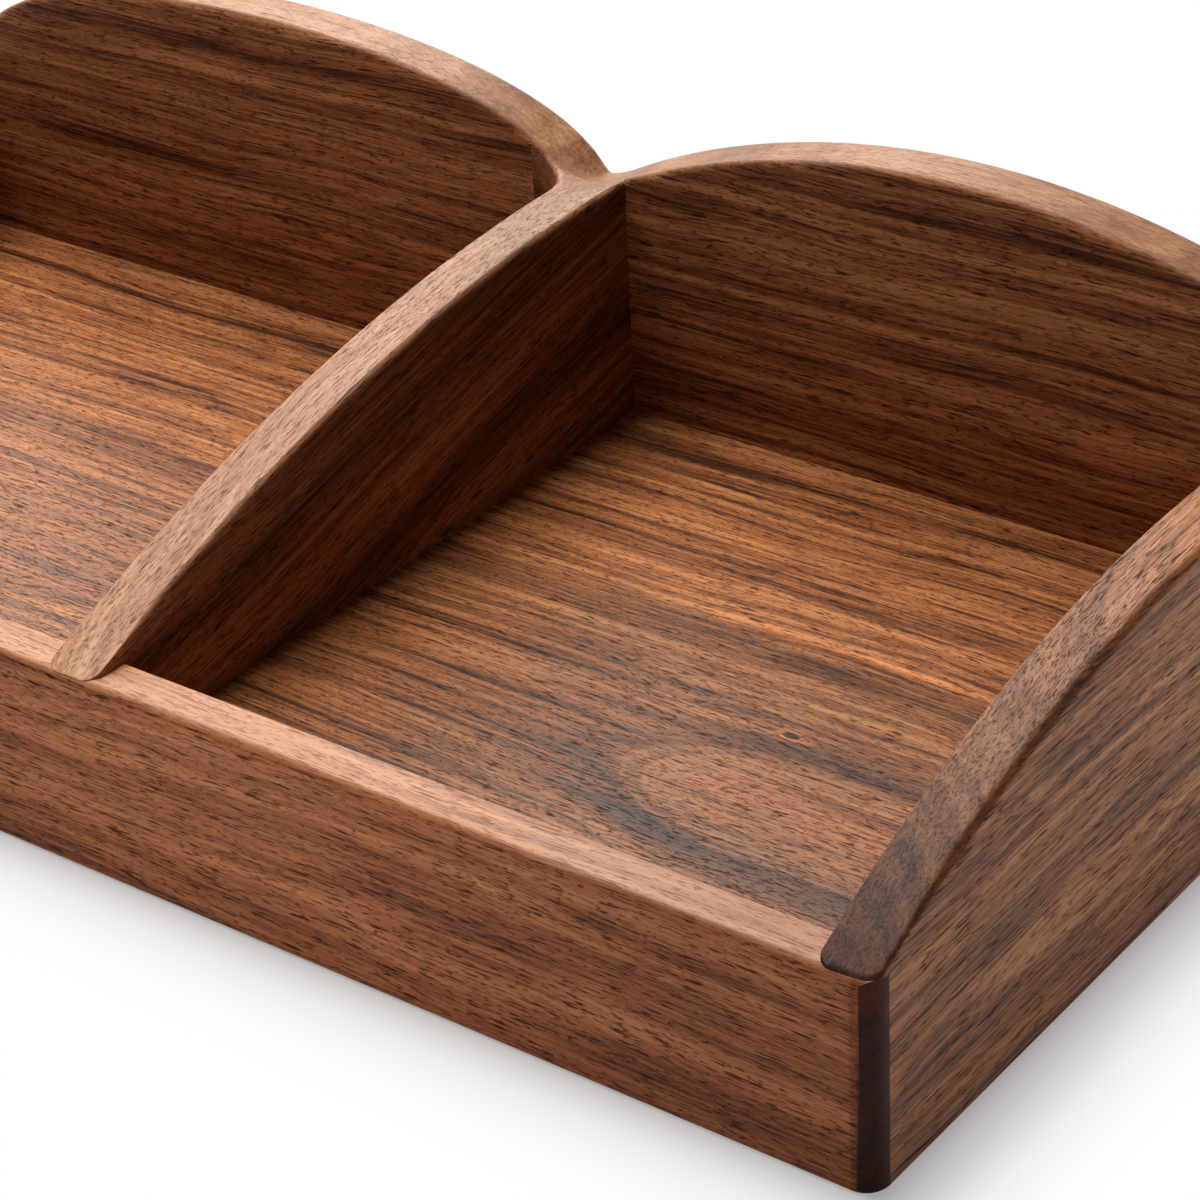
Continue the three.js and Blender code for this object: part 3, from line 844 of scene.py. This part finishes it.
table_half_width = 4.0
table_colour = (0.84, 0.84, 0.84, 1.0)
white = (1.0, 1.0, 1.0, 1.0)
shadow_reach = 30 * MM
shadow_depth = 0.66
table_shape = bmesh.new()
bmesh.ops.create_grid(table_shape, x_segments=1, y_segments=1, size=table_half_width)
table = loose_object("table", table_shape)
table_white = bpy.data.materials.new("table_white")
table_white.use_nodes = True
table_tree = table_white.node_tree
table_surface = table_tree.nodes["Principled BSDF"]
table_surface.inputs["Base Color"].default_value = table_colour
table_surface.inputs["Roughness"].default_value = 0.9
table_surface.inputs["Specular IOR Level"].default_value = 0.1


def background_rays(tree):
    """1 for the rays that see the background: straight from the camera, mirrored or through glass."""
    rays = step(tree, "ShaderNodeLightPath")
    mirrored = maths(tree, "MAXIMUM", rays.outputs["Is Glossy Ray"], rays.outputs["Is Transmission Ray"])
    return maths(tree, "MAXIMUM", rays.outputs["Is Camera Ray"], mirrored)


table_place = step(table_tree, "ShaderNodeTexCoord").outputs["Object"]
footprint = (cad_box[1].x, cad_box[1].y, 0.0)
table_beside = vectors(table_tree, "SUBTRACT", vectors(table_tree, "ABSOLUTE", table_place), footprint)
table_beside = vectors(table_tree, "LENGTH", vectors(table_tree, "MAXIMUM", table_beside))
in_shadow = maths(table_tree, "MULTIPLY_ADD", table_beside, -1 / shadow_reach, 1.0, clamp=True)
in_shadow = maths(table_tree, "MULTIPLY", in_shadow, in_shadow)
table_away = maths(table_tree, "MULTIPLY_ADD", in_shadow, -shadow_depth, 1.0)
table_fade = maths(table_tree, "MULTIPLY", table_away, background_rays(table_tree))
table_glow = step(table_tree, "ShaderNodeEmission", {"Color": white, "Strength": 1.0})
table_mix = step(table_tree, "ShaderNodeMixShader", {0: table_fade, 1: table_surface.outputs[0],
                                                     2: table_glow.outputs[0]})
table_tree.links.new(table_mix.outputs[0], table_tree.nodes["Material Output"].inputs["Surface"])
table.data.materials.append(table_white)


def soft_lamp(name, place, facing, width, height, power):
    """A flat rectangular lamp at a place that faces in a direction, in metres and watts."""
    lamp_data = bpy.data.lights.new(name, "AREA")
    lamp_data.shape = "RECTANGLE"
    lamp_data.size = width
    lamp_data.size_y = height
    lamp_data.energy = power
    lamp = bpy.data.objects.new(name, lamp_data)
    lamp.location = place
    lamp.rotation_mode = "QUATERNION"
    lamp.rotation_quaternion = Vector(facing).to_track_quat("-Z", "Y")
    bpy.context.scene.collection.objects.link(lamp)
    return lamp


soft_lamp("soft_box", (-0.42, 0.22, 1.3), (0.0, 0.0, -1.0), 0.8, 1.0, 27.0)
soft_lamp("front_strip", (-0.1, -1.0, 0.02), (0.0, 1.0, 0.0), 1.2, 0.04, 1.1)
soft_lamp("right_strip", (1.0, 0.25, 0.02), (-1.0, 0.0, 0.0), 1.2, 0.04, 1.85)
sheen_card = soft_lamp("sheen_card", (-0.85, 0.85, 0.95), (0.85, -0.85, -0.95), 1.0, 1.0, 26.0)
sheen_card.visible_diffuse = False
sheen_card.data.color = (1.0, 0.93, 0.87)

studio_dim = 0.02
studio = bpy.data.worlds.new("studio")
bpy.context.scene.world = studio
studio.use_nodes = True
studio_tree = studio.node_tree
studio_light = studio_tree.nodes["Background"]
studio_light.inputs["Color"].default_value = white
studio_level = maths(studio_tree, "MULTIPLY_ADD", background_rays(studio_tree), 1 - studio_dim, studio_dim)
studio_tree.links.new(studio_level, studio_light.inputs["Strength"])
bpy.context.scene.view_settings.view_transform = "Standard"


# Camera
# A long lens in front of the right corner that looks down by 30 degrees, fitted to the box's edges.

camera_place = Vector((406.84, -441.32, 354.28)) * MM
camera_azimuth = math.radians(38.008)
camera_elevation = math.radians(30.104)
camera_roll = math.radians(-3.019)

ahead = Vector((-math.sin(camera_azimuth) * math.cos(camera_elevation),
                math.cos(camera_azimuth) * math.cos(camera_elevation),
                -math.sin(camera_elevation)))
level = Vector((math.cos(camera_azimuth), math.sin(camera_azimuth), 0.0))
above = level.cross(ahead)
camera_right = math.cos(camera_roll) * level + math.sin(camera_roll) * above
camera_up = math.cos(camera_roll) * above - math.sin(camera_roll) * level
camera_data = bpy.data.cameras.new("camera")
camera_data.lens = 106.75
camera_data.sensor_width = 36.0
camera_data.clip_start = 0.01
camera = bpy.data.objects.new("camera", camera_data)
camera.matrix_world = Matrix((
    (camera_right.x, camera_up.x, -ahead.x, camera_place.x),
    (camera_right.y, camera_up.y, -ahead.y, camera_place.y),
    (camera_right.z, camera_up.z, -ahead.z, camera_place.z),
    (0.0, 0.0, 0.0, 1.0),
))
bpy.context.scene.collection.objects.link(camera)
bpy.context.scene.camera = camera
